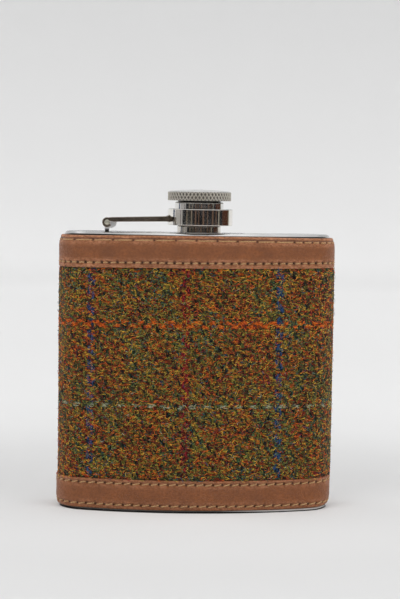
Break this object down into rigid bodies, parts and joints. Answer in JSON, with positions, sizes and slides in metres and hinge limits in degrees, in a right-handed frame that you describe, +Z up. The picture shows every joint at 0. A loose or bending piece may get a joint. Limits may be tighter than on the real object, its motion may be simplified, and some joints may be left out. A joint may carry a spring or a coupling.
{
  "type": "hip flask",
  "caption": "Curved pocket hip flask in tweed and stitched leather, with a knurled screw cap held by a hinged arm.",
  "frame": {"origin": "middle of the footprint, on the surface that the flask stands on", "axes": "+Z up through the cap, -Y out of the bulging front face, -X towards the hinge of the cap arm"},
  "size_m": [0.095, 0.028, 0.1093],
  "materials": {
    "polished_steel": "mirror polished stainless steel",
    "gasket": "matt silicone",
    "leather": "smooth waxed saddle leather",
    "tweed": "hairy woollen twill",
    "thread": "waxed sewing thread"
  },
  "bodies": {
    "flask": {"front_shell": "polished_steel", "back_shell": "polished_steel", "base_plate": "polished_steel", "shoulder_plate": "polished_steel", "neck": "polished_steel", "hinge_bracket": "polished_steel", "hinge_pin": "polished_steel", "bottom_leather_band": "leather", "top_leather_band": "leather", "tweed_panel": "tweed", "bottom_band_lower_stitching": "thread", "bottom_band_upper_stitching": "thread", "top_band_lower_stitching": "thread", "top_band_upper_stitching": "thread"},
    "arm": {"hinge_arm": "polished_steel", "cap_collar": "polished_steel"},
    "cap_retainer": {"cap_retaining_ring": "polished_steel"},
    "cap": {"knurled_cap": "polished_steel", "cap_gasket": "gasket"}
  },
  "joints": [
    {"name": "arm_swing", "type": "hinge", "parent": "flask", "child": "arm", "pos_m": [-0.0313, -0.003, 0.09775], "axis": [0, -1, 0], "range_deg": [0, 180]},
    {"name": "cap_lift", "type": "slide", "parent": "arm", "child": "cap_retainer", "axis": [0, 0, 1], "range_m": [0, 0.0032]},
    {"name": "cap_turn", "type": "hinge", "parent": "cap_retainer", "child": "cap", "pos_m": [0, -0.003, 0.0946], "axis": [0, 0, 1], "range_deg": [0, 900]}
  ],
  "couplings": [
    {"joint": "cap_lift", "follows": "cap_turn", "m_per_rad": 0.00019894}
  ]
}
